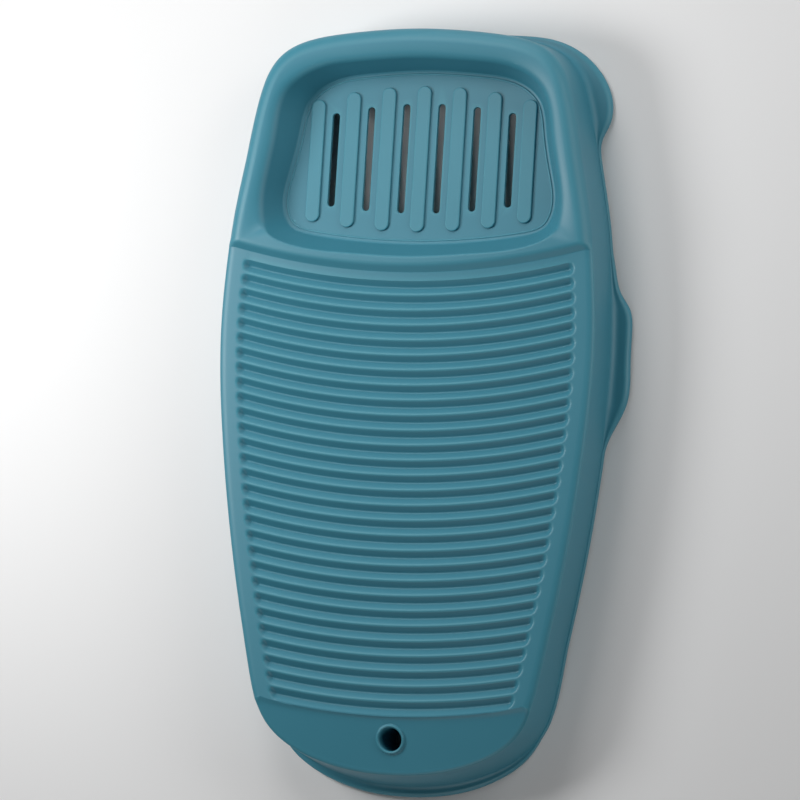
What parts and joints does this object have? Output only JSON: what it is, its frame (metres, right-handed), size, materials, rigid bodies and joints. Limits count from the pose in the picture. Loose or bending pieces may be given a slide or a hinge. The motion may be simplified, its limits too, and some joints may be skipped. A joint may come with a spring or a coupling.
{
  "type": "hand laundry washboard",
  "caption": "Hand laundry washboard: open-backed moulded shell with arched scrubbing grooves, a slotted soap tray, side grips, a hanging hole and soft anti-slip feet.",
  "frame": {"origin": "middle of the board's outline on the plane under the feet", "axes": "+X to the board's right seen from its scrubbing face, +Y up the board from the hanging hole to the soap tray, +Z out of the scrubbing face; the board lies on its back"},
  "size_m": [0.2826, 0.5019, 0.049],
  "materials": {
    "teal_plastic": "injection-moulded polypropylene, satin gloss with a faint moulded grain",
    "foot_rubber": "matte dark rubber"
  },
  "bodies": {
    "root": {"washboard_shell": "teal_plastic", "foot_upper_left": "foot_rubber", "foot_upper_right": "foot_rubber", "foot_lower_left": "foot_rubber", "foot_lower_right": "foot_rubber"}
  },
  "joints": []
}
